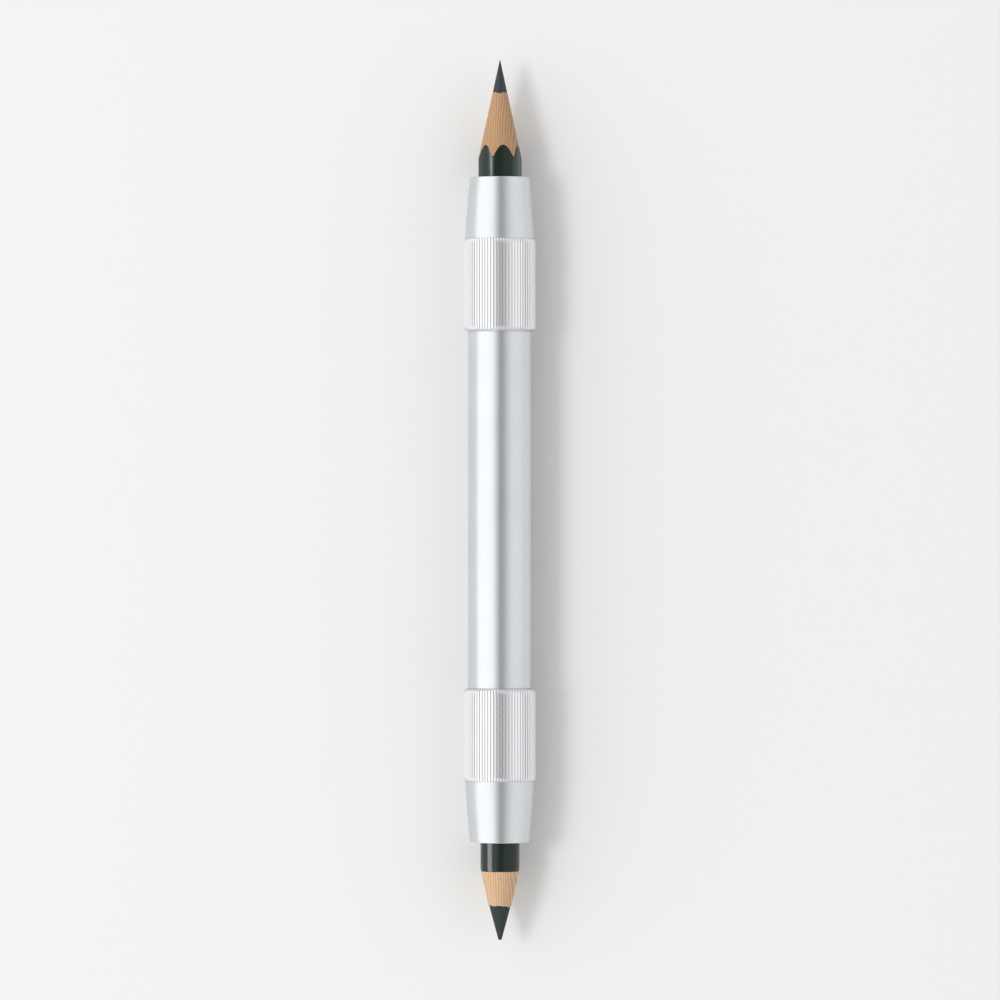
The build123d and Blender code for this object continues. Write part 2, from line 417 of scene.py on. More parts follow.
@dataclass(frozen=True)
class KnurledAluminium(Finish):
    """Turned and straight-knurled aluminium, satin and clear anodised.

    It gives the eye the tube's silver with rings left by the lathe tool on the nose, and on the
    knurl a slightly warmer silver, rubbed bright on the ribs, with painted shade that darkens
    the colour down into the grooves.
    The rings are drawn coarser than the real 0.08 mm feed to show.
    """

    nose: str = "#d7dadd"
    crest: str = "#ededf0"
    # The grooves' colour is painted shade, darker towards their roots
    groove: str = "#bfc0c3"
    # How far below the crests, in depths of a groove, the knurl gives way to the nose
    nose_from: float = 1.05
    nose_to: float = 1.3
    tool_ring: float = 0.22
    roughness: tuple[float, float] = (0.25, 0.3)
    relief: float = 0.03

    def wire(self, tree: bpy.types.NodeTree) -> Plugs:
        """Draw rings round the nose in the gloss and relief, and a tone by the grooves' depth.

        Args:
            tree: the material's tree.

        Returns:
            What goes into the shader's sockets.
        """
        place = add(tree, "ShaderNodeTexCoord").outputs["Object"]
        feed = {"Vector": place, "Scale": (per_metre(self.tool_ring), 0, 0)}
        along = add(tree, "ShaderNodeMapping", feed)
        rings = add(tree, "ShaderNodeTexNoise", {"Vector": along, "Scale": 1.0, "Detail": 2.0})
        kept = add(tree, "ShaderNodeAttribute", attribute_name=StraightKnurl.DEPTH_NAME)
        depth = kept.outputs["Fac"]
        step = {"Value": depth, "From Min": self.nose_from, "From Max": self.nose_to}
        past_knurl = add(tree, "ShaderNodeMapRange", step)
        marks = add(tree, "ShaderNodeMath", {0: rings, 1: past_knurl}, operation="MULTIPLY")
        # Painted shade: the colour darkens from the rubbed-bright crests to the grooves' roots with
        # the knurl's depth
        tint = {"Factor": depth, "A": self.crest, "B": self.groove}
        knurl = add(tree, "ShaderNodeMix", tint, data_type="RGBA")
        tint = {"Factor": past_knurl, "A": knurl, "B": self.nose}
        tone = add(tree, "ShaderNodeMix", tint, data_type="RGBA")
        return self.surface(tree, tone, marks, marks) | {"Metallic": 1.0}


@dataclass(frozen=True)
class TurnedBrass(Finish):
    """Brass bar, turned bright.

    It gives the eye a warm yellow metal with clear tool rings and a little tarnish.
    """

    bright: str = "#c9a763"
    tarnish: str = "#a5854a"
    tool_ring: float = 0.18
    cloud: float = 3.0
    roughness: tuple[float, float] = (0.2, 0.36)
    relief: float = 0.25

    def wire(self, tree: bpy.types.NodeTree) -> Plugs:
        """Draw tool rings in the relief, and tarnish in the tone and gloss.

        Args:
            tree: the material's tree.

        Returns:
            What goes into the shader's sockets.
        """
        place = add(tree, "ShaderNodeTexCoord").outputs["Object"]
        feed = {"Vector": place, "Scale": (per_metre(self.tool_ring), 0, 0)}
        along = add(tree, "ShaderNodeMapping", feed)
        rings = add(tree, "ShaderNodeTexNoise", {"Vector": along, "Scale": 1.0})
        clouds = add(tree, "ShaderNodeTexNoise", {"Vector": place, "Scale": per_metre(self.cloud)})
        tint = {"Factor": clouds, "A": self.bright, "B": self.tarnish}
        tone = add(tree, "ShaderNodeMix", tint, data_type="RGBA")
        return self.surface(tree, tone, rings, clouds) | {"Metallic": 1.0}


@dataclass(frozen=True)
class MouldedAcetal(Finish):
    """Black acetal, injection moulded.

    It gives the eye a near-black with a waxy half gloss and the fine grain of a sparked mould.
    """

    black: str = "#17181a"
    grey: str = "#222426"
    grain: float = 0.12
    ior: float = 1.48
    roughness: tuple[float, float] = (0.38, 0.52)
    relief: float = 0.2

    def wire(self, tree: bpy.types.NodeTree) -> Plugs:
        """Draw mould grain in the tone, the gloss and the relief.

        Args:
            tree: the material's tree.

        Returns:
            What goes into the shader's sockets.
        """
        place = add(tree, "ShaderNodeTexCoord").outputs["Object"]
        sparks = {"Vector": place, "Scale": per_metre(self.grain), "Detail": 3.0}
        grain = add(tree, "ShaderNodeTexNoise", sparks)
        tint = {"Factor": grain, "A": self.black, "B": self.grey}
        tone = add(tree, "ShaderNodeMix", tint, data_type="RGBA")
        return self.surface(tree, tone, grain, grain) | {"IOR": self.ior}


@dataclass(frozen=True)
class PencilLacquer(Finish):
    """Pencil lacquer, several dipped coats drawn through a gasket.

    It gives the eye a very dark green with a wet gloss and a slight orange peel, and corners where
    the colour is rubbed a little thin.
    """

    deep: str = "#06130c"
    fresh: str = "#0b2217"
    rubbed: str = "#2f5a46"
    peel: float = 0.9
    cloud: float = 4.0
    # Distances from the pencil's axis over which the corners are rubbed
    rub_from: float = 3.86
    rub_to: float = 3.96
    ior: float = 1.5
    specular: float = 0.4
    roughness: tuple[float, float] = (0.1, 0.2)
    relief: float = 0.1
    relief_depth: float = 0.02

    def wire(self, tree: bpy.types.NodeTree) -> Plugs:
        """Draw a cloudy colour that thins on the corners, and peel in the relief and gloss.

        Args:
            tree: the material's tree.

        Returns:
            What goes into the shader's sockets.
        """
        place = add(tree, "ShaderNodeTexCoord").outputs["Object"]
        clouds = add(tree, "ShaderNodeTexNoise", {"Vector": place, "Scale": per_metre(self.cloud)})
        tint = {"Factor": clouds, "A": self.deep, "B": self.fresh}
        colour = add(tree, "ShaderNodeMix", tint, data_type="RGBA")
        low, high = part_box("barrel_tube")
        to_axis = {"Location": (0, 0, -(low.z + high.z) / 2), "Scale": (0, 1, 1)}
        spoke = add(tree, "ShaderNodeMapping", {"Vector": place} | to_axis)
        reach = add(tree, "ShaderNodeVectorMath", {0: spoke}, operation="LENGTH")
        rub = {"Value": reach, "From Min": self.rub_from * MM, "From Max": self.rub_to * MM}
        corner = add(tree, "ShaderNodeMapRange", rub)
        worn = add(tree, "ShaderNodeMath", {0: corner, 1: clouds}, operation="MULTIPLY")
        tint = {"Factor": worn, "A": colour, "B": self.rubbed}
        tone = add(tree, "ShaderNodeMix", tint, data_type="RGBA")
        dimples = {"Vector": place, "Scale": per_metre(self.peel), "Detail": 1.0}
        peel = add(tree, "ShaderNodeTexNoise", dimples)
        fixed = {"IOR": self.ior, "Specular IOR Level": self.specular}
        return self.surface(tree, tone, peel, peel) | fixed


@dataclass(frozen=True)
class PencilCedar(Finish):
    """Incense cedar, cut along the grain and shaved by a sharpener.

    It gives the eye a warm pinkish tan with darker growth lines along the pencil, fine fibres, and
    faint rings from the blade. The fibres are drawn coarser than the real 0.04 mm to show.
    """

    early: str = "#ba9470"
    late: str = "#a17b5a"
    fibre_shade: str = "#805f46"
    growth: float = 0.45
    # How the growth lines lean, in radians, how slowly they change along the pencil, how far they
    # wander, and where in the tree the pencil was cut from, in metres
    lean: Point = (0.2, 0.025, 0.03)
    stretch: float = 0.12
    wander: float = 3.2
    shift: float = 0.0
    fibre: float = 0.16
    fibre_length: float = 5.0
    # Which of the fibre noise's values are shaded, and how much
    fibre_from: float = 0.5
    fibre_to: float = 0.8
    fibre_strength: float = 0.5
    blade_ring: float = 0.35
    ior: float = 1.45
    roughness: tuple[float, float] = (0.55, 0.75)
    relief: float = 0.35
    relief_depth: float = 0.03

    def wire(self, tree: bpy.types.NodeTree) -> Plugs:
        """Draw growth lines and fibres along X in the tone, fibres and blade rings in the relief.

        Args:
            tree: the material's tree.

        Returns:
            What goes into the shader's sockets.
        """
        place = add(tree, "ShaderNodeTexCoord").outputs["Object"]
        cut = {"Location": (self.shift, self.shift, 0), "Rotation": self.lean}
        grown = {"Vector": place, "Scale": (self.stretch, 1, 1)} | cut
        planes = add(tree, "ShaderNodeMapping", grown)
        # A wave of scale 1 has ten lines in a length of pi
        years = {"Vector": planes, "Scale": math.pi / 10 * per_metre(self.growth)}
        years |= {"Distortion": self.wander, "Detail": 2.0, "Detail Scale": 1.2}
        growth = add(tree, "ShaderNodeTexWave", years, bands_direction="Y").outputs["Fac"]
        across, along = per_metre(self.fibre), per_metre(self.fibre_length)
        split = add(tree, "ShaderNodeMapping", {"Vector": place, "Scale": (along, across, across)})
        fibres = add(tree, "ShaderNodeTexNoise", {"Vector": split, "Scale": 1.0, "Detail": 4.0})
        dark = {"Value": fibres, "From Min": self.fibre_from, "From Max": self.fibre_to}
        shaded = add(tree, "ShaderNodeMapRange", dark | {"To Max": self.fibre_strength})
        tint = {"Factor": growth, "A": self.early, "B": self.late}
        wood = add(tree, "ShaderNodeMix", tint, data_type="RGBA")
        tint = {"Factor": shaded, "A": wood, "B": self.fibre_shade}
        tone = add(tree, "ShaderNodeMix", tint, data_type="RGBA")
        feed = {"Vector": place, "Scale": (per_metre(self.blade_ring), 0, 0)}
        shaved = add(tree, "ShaderNodeMapping", feed)
        rings = add(tree, "ShaderNodeTexNoise", {"Vector": shaved, "Scale": 1.0})
        height = add(tree, "ShaderNodeMath", {0: fibres, 1: rings}, operation="ADD")
        return self.surface(tree, tone, height, fibres) | {"IOR": self.ior}


@dataclass(frozen=True)
class PencilGraphite(Finish):
    """Fired graphite and clay lead, shaved to a point.

    It gives the eye a dark grey with a soft metallic sheen, and fine rings from the blade.
    """

    dark: str = "#303134"
    sheen: str = "#525357"
    blade_ring: float = 0.28
    grain: float = 0.15
    metallic: float = 0.5
    roughness: tuple[float, float] = (0.34, 0.5)
    relief: float = 0.3
    relief_depth: float = 0.02

    def wire(self, tree: bpy.types.NodeTree) -> Plugs:
        """Draw blade rings and grain in the tone and the relief, and rings in the gloss.

        Args:
            tree: the material's tree.

        Returns:
            What goes into the shader's sockets.
        """
        place = add(tree, "ShaderNodeTexCoord").outputs["Object"]
        feed = {"Vector": place, "Scale": (per_metre(self.blade_ring), 0, 0)}
        shaved = add(tree, "ShaderNodeMapping", feed)
        rings = add(tree, "ShaderNodeTexNoise", {"Vector": shaved, "Scale": 1.0, "Detail": 3.0})
        grain = add(tree, "ShaderNodeTexNoise", {"Vector": place, "Scale": per_metre(self.grain)})
        marks = add(tree, "ShaderNodeMath", {0: rings, 1: grain}, operation="MULTIPLY")
        tint = {"Factor": marks, "A": self.dark, "B": self.sheen}
        tone = add(tree, "ShaderNodeMix", tint, data_type="RGBA")
        return self.surface(tree, tone, marks, rings) | {"Metallic": self.metallic}


@dataclass(frozen=True)
class PressedCharcoal(Finish):
    """Pressed charcoal, shaved to a blunt point.

    It gives the eye a matt slate black with a dusty grain and no shine.
    """

    black: str = "#111818"
    slate: str = "#364443"
    grain: float = 0.22
    roughness: tuple[float, float] = (0.82, 0.82)
    relief: float = 0.5
    relief_depth: float = 0.05

    def wire(self, tree: bpy.types.NodeTree) -> Plugs:
        """Draw a dusty grain in the tone and the relief.

        Args:
            tree: the material's tree.

        Returns:
            What goes into the shader's sockets.
        """
        place = add(tree, "ShaderNodeTexCoord").outputs["Object"]
        dust = {"Vector": place, "Scale": per_metre(self.grain), "Detail": 5.0, "Roughness": 0.65}
        grain = add(tree, "ShaderNodeTexNoise", dust)
        tint = {"Factor": grain, "A": self.black, "B": self.slate}
        return self.surface(tree, add(tree, "ShaderNodeMix", tint, data_type="RGBA"), grain)


@dataclass(frozen=True)
class TableTop(Finish):
    """Matt white laminate for the table, with nothing to draw the eye."""

    colour: str = "#e2e2e1"
    specular: float = 0.1
    roughness: tuple[float, float] = (0.9, 0.9)

    def wire(self, tree: bpy.types.NodeTree) -> Plugs:
        """Give one even tone and gloss."""
        fixed = {"Roughness": self.roughness[0], "Specular IOR Level": self.specular}
        return {"Base Color": self.colour} | fixed


BARREL_METAL = DrawnAluminium("Satin anodised drawn aluminium", "satin_aluminium")
SLEEVE_METAL = KnurledAluminium("Satin anodised knurled aluminium", "knurled_aluminium")
BUSH_METAL = TurnedBrass("Bright turned brass", "turned_brass")
COLLET_PLASTIC = MouldedAcetal("Black moulded acetal", "black_acetal")
LACQUER = PencilLacquer("Dark green dipped lacquer", "green_lacquer")
CEDAR = PencilCedar("Shaved incense cedar", "cedar")
PALE_CEDAR = PencilCedar(
    "Shaved pale incense cedar", "cedar", early="#d2b08e", late="#bb9773", shift=0.0137
)
GRAPHITE = PencilGraphite("Shaved fired graphite", "graphite")
CHARCOAL = PressedCharcoal("Pressed charcoal", "charcoal")
TABLE = TableTop("Matt white table top", "")


def finish_piece(
    piece: bpy.types.Object, finish: Finish, body: str, node: str
) -> bpy.types.Object:
    """Give a piece its finish and put it on its body in place of a CAD node.

    Args:
        piece: the piece, in its place.
        finish: what its surface is.
        body: the CAD body that it moves with.
        node: the CAD node that it stands for.

    Returns:
        The same piece.
    """
    if not piece.data.materials:
        piece.data.materials.append(finish.material())
    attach(piece, body)
    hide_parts(node)
    return piece


# The extender


@dataclass
class Barrel:
    """The plain drawn tube between the sleeves."""

    radius: float = 5.7986
    bore_radius: float = 4.9986
    half_length: float = 38.0
    # How far the sharp edges are broken, and how far in the middle of the break lies
    edge_break: float = 0.12
    edge_middle: float = 0.036
    segments: int = 192
    finish: Finish = BARREL_METAL

    def build(self) -> bpy.types.Object:
        """Turn the tube, with its sharp edges broken at both ends.

        Returns:
            The tube.
        """
        end, soft, middle = self.half_length, self.edge_break, self.edge_middle
        right = [
            (self.radius, end - soft),
            (self.radius - middle, end - middle),
            (self.radius - soft, end),
            (self.bore_radius + soft, end),
            (self.bore_radius, end - soft),
        ]
        wall = right + [(radius, -height) for radius, height in reversed(right)]
        tube = turned("drawn_barrel", End.GRAPHITE, wall, even_angles(self.segments), bored=True)
        smooth(tube)
        return tube

    def make(self) -> list[bpy.types.Object]:
        """Build and dress the barrel."""
        return [finish_piece(self.build(), self.finish, "barrel", "barrel_tube")]


class StraightKnurl:
    """A geometry tree that presses straight V grooves into a turned piece that lies along X."""

    DEPTH_NAME = "knurl_depth"
    INPUTS = {
        "Turned piece": "NodeSocketGeometry",
        "Axis point": "NodeSocketVector",
        "Ribs": "NodeSocketInt",
        "Crest radius": "NodeSocketFloat",
        "Root radius": "NodeSocketFloat",
        "Groove share": "NodeSocketFloat",
        "Edge rounding": "NodeSocketFloat",
        "Finish": "NodeSocketMaterial",
    }

    def __init__(self) -> None:
        """Build the tree with its named inputs."""
        self.tree = bpy.data.node_groups.new("Straight knurl", "GeometryNodeTree")
        face = self.tree.interface
        self.sockets = {
            name: face.new_socket(name, in_out="INPUT", socket_type=kind).identifier
            for name, kind in self.INPUTS.items()
        }
        face.new_socket("Knurled piece", in_out="OUTPUT", socket_type="NodeSocketGeometry")
        self.wire()

    def wire(self) -> None:
        """Clip each point's radius to the groove at its angle, and keep how deep it lies."""
        tree = self.tree
        given = add(tree, "NodeGroupInput").outputs
        crest, root = given["Crest radius"], given["Root radius"]
        from_axis = {0: add(tree, "GeometryNodeInputPosition"), 1: given["Axis point"]}
        local = add(tree, "ShaderNodeVectorMath", from_axis, operation="SUBTRACT")
        spoke = add(tree, "ShaderNodeVectorMath", {0: local, 1: (0, 1, 1)}, operation="MULTIPLY")
        radius = add(tree, "ShaderNodeVectorMath", {0: spoke}, operation="LENGTH")
        part = add(tree, "ShaderNodeSeparateXYZ", {0: spoke}).outputs
        angle = add(tree, "ShaderNodeMath", {0: part["Y"], 1: part["Z"]}, operation="ARCTAN2")
        turns = add(tree, "ShaderNodeMath", {0: angle, 1: math.tau}, operation="DIVIDE")
        rib = add(tree, "ShaderNodeMath", {0: turns, 1: given["Ribs"]}, operation="MULTIPLY")
        off_groove = add(tree, "ShaderNodeMath", {0: rib, 1: 0.5}, operation="PINGPONG")
        flank = {"Value": off_groove, "From Max": given["Groove share"]}
        flank |= {"To Min": root, "To Max": crest}
        groove = add(tree, "ShaderNodeMapRange", flank, clamp=False)
        lower = {0: radius, 1: groove, 2: given["Edge rounding"]}
        clipped = add(tree, "ShaderNodeMath", lower, operation="SMOOTH_MIN")
        ratio = add(tree, "ShaderNodeMath", {0: clipped, 1: radius}, operation="DIVIDE")
        sunk = add(tree, "ShaderNodeMath", {0: ratio, 1: 1.0}, operation="SUBTRACT")
        inward = add(tree, "ShaderNodeVectorMath", {0: spoke, "Scale": sunk}, operation="SCALE")
        scale = {"Value": clipped, "From Min": crest, "From Max": root}
        depth = add(tree, "ShaderNodeMapRange", scale, clamp=False)
        kept = add(
            tree,
            "GeometryNodeStoreNamedAttribute",
            {"Geometry": given["Turned piece"], "Name": self.DEPTH_NAME, "Value": depth},
            data_type="FLOAT",
            domain="POINT",
        )
        pressed = add(tree, "GeometryNodeSetPosition", {"Geometry": kept, "Offset": inward})
        real = add(tree, "GeometryNodeRealizeInstances", {"Geometry": pressed})
        dress = {"Geometry": real, "Material": given["Finish"]}
        add(tree, "NodeGroupOutput", {0: add(tree, "GeometryNodeSetMaterial", dress)})

    def press(self, piece: bpy.types.Object, sizes: dict[str, object]) -> None:
        """Knurl a piece and leave it a plain mesh.

        Args:
            piece: the turned piece.
            sizes: a value for each of the tree's inputs after the piece, by name.
        """
        modifier = piece.modifiers.new("Knurl", "NODES")
        modifier.node_group = self.tree
        for name, value in sizes.items():
            modifier[self.sockets[name]] = value
        evaluated = piece.evaluated_get(bpy.context.evaluated_depsgraph_get())
        knurled = bpy.data.meshes.new_from_object(evaluated)
        piece.modifiers.remove(modifier)
        plain = piece.data
        piece.data = knurled
        bpy.data.meshes.remove(plain)


@dataclass
class ClampSleeve:
    """A knurled sleeve with a tapering nose, threaded inside."""

    end: End
    knurl: StraightKnurl
    rear: float = 32.2
    knurl_front: float = 49.0
    mouth: float = 60.0
    crest_radius: float = 6.4486
    knurl_depth: float = 0.1
    knurl_rows: int = 8
    row_margin: float = 1.0
    nose_foot_radius: float = 6.2986
    skirt_radius: float = 5.8986
    nose_end_radius: float = 5.4486
    nose_bulge: float = 0.08
    nose_rows: int = 24
    mouth_radius: float = 4.1986
    chamber_radius: float = 5.1486
    relief_radius: float = 5.8686
    rim_chamfer: float = 0.35
    rim_soft: float = 0.07
    rib_runout: float = 0.3
    lip_round: float = 0.2
    lip_steps: int = 6
    mouth_chamfer: float = 0.15
    mouth_land: float = 2.0
    nut_rear: float = 39.1
    nut_front: float = 46.0
    relief_end: float = 47.3
    nut_minor_radius: float = 5.3686
    nut_major_radius: float = 5.8186
    thread_pitch: float = 1.0
    thread_start: float = 39.42
    thread_floor_half: float = 0.22
    thread_flank_slope: float = 2.95
    thread_steps: int = 8
    ribs: int = 72
    groove_half_width: float = 0.1
    rib_rounding: float = 0.025
    # Where a rib's points lie, from one groove's root to the next
    rib_points: tuple[float, ...] = (0.0, 0.09, 0.18, 0.5, 0.82, 0.91)
    finish: Finish = SLEEVE_METAL

    def angles(self) -> list[float]:
        """Angles with points on every groove's root and flanks and every rib's crest."""
        places = [rib + point for rib in range(self.ribs) for point in self.rib_points]
        return [math.tau * place / self.ribs for place in places]

    def nose(self) -> Profile:
        """Draw the nose's gently bulging outline.

        Returns:
            The outline, from the knurl to the lip.
        """
        low = Vector((self.nose_foot_radius, self.knurl_front))
        high = Vector((self.nose_end_radius, self.mouth - self.lip_round))
        points = []
        for t in spread(0.0, 1.0, self.nose_rows):
            radius, place = low.lerp(high, t)
            points.append((radius + self.nose_bulge * (1 - (2 * t - 1) ** 2), place))
        return points

    def outside(self) -> Profile:
        """Draw the outside and the lip.

        Returns:
            The outline, from the rear face to the mouth's land.
        """
        soft, crest, foot = self.rim_soft, self.crest_radius, self.nose_foot_radius
        edge, rim = crest - self.rim_chamfer, self.rear + self.rim_chamfer
        runout = self.knurl_front - self.rib_runout
        first, last = self.rear + self.row_margin, self.knurl_front - self.row_margin
        lip = (self.nose_end_radius - self.lip_round, self.mouth - self.lip_round)
        return [
            (self.skirt_radius + soft / 2, self.rear),
            (edge - soft / 2, self.rear),
            (edge + soft / 2, self.rear + soft),
            (foot, rim - (crest - foot)),
            (crest - soft, rim - soft),
            (crest, rim + soft),
            *[(crest, place) for place in spread(first, last, self.knurl_rows)],
            (crest, runout),
            ((crest + foot) / 2, runout + self.rib_runout / 2),
            *self.nose(),
            *arc(lip, self.lip_round, 0, 90, self.lip_steps)[1:],
            (self.mouth_radius + self.mouth_chamfer, self.mouth),
            (self.mouth_radius, self.mouth - self.mouth_chamfer),
        ]

    def inside(self) -> Profile:
        """Draw the bore in front of the thread.

        Returns:
            The outline, from the mouth's land to the thread.
        """
        shoulder = self.mouth - self.mouth_land
        return [
            (self.mouth_radius, shoulder),
            (self.chamber_radius, shoulder - (self.chamber_radius - self.mouth_radius)),
            (self.chamber_radius, self.relief_end),
            (self.relief_radius, self.relief_end),
            (self.relief_radius, self.nut_front),
        ]

    def thread_radius(self, angle: float, place: float) -> float:
        """Follow the thread's groove round the bore.

        Args:
            angle: an angle about the axis, in radians.
            place: a place along the axis.

        Returns:
            The thread's radius there.
        """
        pitch = self.thread_pitch
        groove = self.thread_start + pitch * angle / math.tau
        off = abs((place - groove + pitch / 2) % pitch - pitch / 2)
        up_flank = max(0.0, off - self.thread_floor_half) * self.thread_flank_slope
        return max(self.nut_minor_radius, self.nut_major_radius - up_flank)

    def build(self) -> bpy.types.Object:
        """Turn the shell, cut its thread and press its knurl.

        Returns:
            The sleeve.
        """
        angles = self.angles()
        skin = Skin()
        for radius, place in self.outside() + self.inside():
            skin.ring(ring_of(radius, place, angles))
        rows = round((self.nut_front - self.nut_rear) / self.thread_pitch * self.thread_steps)
        for place in spread(self.nut_front, self.nut_rear, rows):
            skin.ring([polar(self.thread_radius(a, place), a, place) for a in angles])
        for place in (self.nut_rear, self.rear + self.rim_soft / 2):
            skin.ring(ring_of(self.skirt_radius, place, angles))
        skin.close()
        shell = skin.piece(f"{self.end.stem}_end_sleeve", self.end)
        rib_pitch = math.tau * self.crest_radius / self.ribs
        sizes = {
            "Axis point": self.end.placed().translation,
            "Ribs": self.ribs,
            "Crest radius": self.crest_radius * MM,
            "Root radius": (self.crest_radius - self.knurl_depth) * MM,
            "Groove share": self.groove_half_width / rib_pitch,
            "Edge rounding": self.rib_rounding * MM,
            "Finish": self.finish.material(),
        }
        self.knurl.press(shell, sizes)
        smooth(shell)
        return shell

    def make(self) -> list[bpy.types.Object]:
        """Build and dress the sleeve."""
        name = "front_sleeve" if self.end is End.GRAPHITE else "rear_sleeve"
        return [finish_piece(self.build(), self.finish, name, name)]


@dataclass
class ClampWorks:
    """The bushes and collets inside the sleeves, which keep their CAD shapes."""

    finishes: dict[str, Finish] = field(
        default_factory=lambda: {
            "front_bush": BUSH_METAL,
            "rear_bush": BUSH_METAL,
            "front_collet": COLLET_PLASTIC,
            "rear_collet": COLLET_PLASTIC,
        }
    )

    def make(self) -> list[bpy.types.Object]:
        """Dress each CAD node.

        Returns:
            The nodes' objects.
        """
        made = {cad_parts[name]: finish for name, finish in self.finishes.items()}
        for piece, finish in made.items():
            for slot in piece.material_slots:
                slot.material = finish.material()
        return list(made)


# The pencils


@dataclass
class Pencil:
    """A sharpened pencil: a lacquer skin, two glued cedar slats and a core."""

    end: End
    length: float
    shown: float
    core_radius: float
    tip_radius: float
    tip_steps: int
    core_node: str
    core_finish: Finish
    cedar: Finish
    lacquer: Finish = LACQUER
    mouth: float = 60.0
    half_angle: float = 12.2
    lacquer_thickness: float = 0.12
    # How far the edges are chipped, and how often round the pencil
    lacquer_chip: float = 0.05
    lacquer_lobes: float = 5.0
    wood_chip: float = 0.8
    wood_lobes: float = 2.0
    glue_gap: float = 0.01
    plain_rows: int = 2
    cone_rows: int = 14
    core_rows: int = 8
    core_segments: int = 72

    @property
    def tip(self) -> float:
        """Where the point ends along the end's axis."""
        return self.mouth + self.shown

    @property
    def rear(self) -> float:
        """Where the pencil's blunt end lies along the end's axis."""
        return self.tip - self.length

    @property
    def taper(self) -> float:
        """How much radius the cone loses along its axis."""
        return math.tan(math.radians(self.half_angle))

    def body_radius(self, angle: float, inset: float) -> float:
        """The pencil's radius at an angle, set in from the lacquer's outside."""
        raise NotImplementedError

    def half_turn(self) -> list[float]:
        """Angles over half a turn about a slat's middle, with both glued edges."""
        raise NotImplementedError

    def twist(self) -> float:
        """How far the pencil is turned about the end's axis, in radians."""
        return 0.0

    def cone_foot(self) -> tuple[float, float]:
        """A point of the sharpened cone, as (radius, height)."""
        raise NotImplementedError

    def wood_end(self) -> float:
        """Where the cedar gives way to the core."""
        raise NotImplementedError

    def point_profile(self) -> Profile:
        """The bare core's outline from the wood to just short of its tip."""
        raise NotImplementedError

    def on_cone(self, radius: float) -> float:
        """Where along the axis the sharpened cone has a radius."""
        foot_radius, foot = self.cone_foot()
        return foot - (radius - foot_radius) / self.taper

    def cone_radius(self, place: float) -> float:
        """The sharpened cone's radius at a place along the axis."""
        foot_radius, foot = self.cone_foot()
        return foot_radius + (foot - place) * self.taper

    def ragged(self, angle: float, depth: float, lobes: float) -> float:
        """How far back an edge is chipped at an angle, from nothing to a depth."""
        spot = Vector((math.cos(angle) * lobes, math.sin(angle) * lobes, self.length))
        return depth * (0.5 + 0.5 * noise.noise(spot))

    def build_lacquer(self) -> bpy.types.Object:
        """Build the lacquer skin, cut where the sharpener's cone meets the pencil's sides.

        Returns:
            The skin.
        """
        half = self.half_turn()[:-1]
        turns = half + [math.pi + turn for turn in half]
        angles = [self.twist() + turn for turn in turns]
        outer = [self.body_radius(turn, 0.0) for turn in turns]
        inner = [self.body_radius(turn, self.lacquer_thickness) for turn in turns]
        chips = [self.ragged(a, self.lacquer_chip, self.lacquer_lobes) for a in angles]
        skin = Skin()
        skin.ring([polar(r, a, self.rear) for r, a in zip(outer, angles)])
        for radii in (outer, inner):
            edge = zip(radii, angles, chips)
            skin.ring([polar(r, a, self.on_cone(r) - chip) for r, a, chip in edge])
        skin.ring([polar(r, a, self.rear) for r, a in zip(inner, angles)])
        skin.close()
        return skin.piece(f"{self.end.stem}_pencil_lacquer", self.end)

    def off_glue(self, radius: float, turn: float, middle: float, place: float) -> Point:
        """Place a point of a slat, kept a hair's breadth off the glue.

        Args:
            radius: the point's distance from the axis.
            turn: its angle from the slat's middle, in radians.
            middle: the angle of that middle about the end's axis, in radians.
            place: where it lies along the axis.

        Returns:
            The point.
        """
        out = max(radius * math.cos(turn), self.glue_gap)
        side = radius * math.sin(turn)
        x = out * math.cos(middle) - side * math.sin(middle)
        y = out * math.sin(middle) + side * math.cos(middle)
        return x, y, place

    def slat_ring(self, half: Half, share: float, on_cone: bool) -> list[Point]:
        """Lay one ring of a slat, out along its outside and back along the core.

        Args:
            half: which slat.
            share: how far along its plain or sharpened length the ring lies, from 0 to 1.
            on_cone: whether the ring lies on the sharpened length.

        Returns:
            The ring's points.
        """
        middle = half.middle(self.end) + self.twist()
        turns = self.half_turn()
        radii = [self.body_radius(turn, self.lacquer_thickness) for turn in turns]
        core_edge = sum(self.on_cone(radius) for radius in radii) / len(radii)
        outside, inside = [], []
        for turn, radius in zip(turns, radii):
            edge = self.on_cone(radius)
            if on_cone:
                chip = self.ragged(middle + turn, self.wood_chip, self.wood_lobes)
                stop = self.wood_end() - chip
                place, core_place = (between(start, stop, share) for start in (edge, core_edge))
                radius = self.cone_radius(place)
            else:
                place, core_place = (between(self.rear, e, share) for e in (edge, core_edge))
            outside.append(self.off_glue(radius, turn, middle, place))
            inside.append(self.off_glue(self.core_radius, turn, middle, core_place))
        return outside + inside[::-1]

    def build_slat(self, half: Half) -> bpy.types.Object:
        """Build one half of the casing, shaved to a cone where the sharpener took it.

        Args:
            half: which half.

        Returns:
            The slat.
        """
        skin = Skin()
        for share in spread(0.0, 1.0, self.plain_rows):
            skin.ring(self.slat_ring(half, share, on_cone=False))
        for share in spread(0.0, 1.0, self.cone_rows)[1:]:
            skin.ring(self.slat_ring(half, share, on_cone=True))
        skin.cap(skin.rings[0])
        skin.cap(skin.rings[-1])
        return skin.piece(f"{self.end.stem}_pencil_slat_{half.name.lower()}", self.end)

    def build_core(self) -> bpy.types.Object:
        """Turn the core to its point.

        Returns:
            The core.
        """
        blunt = [(0.0, self.rear), (self.core_radius, self.rear)]
        profile = [*blunt, *self.point_profile(), (0.0, self.tip)]
        angles = even_angles(self.core_segments)
        return turned(f"{self.end.stem}_pencil_core", self.end, profile, angles, bored=False)

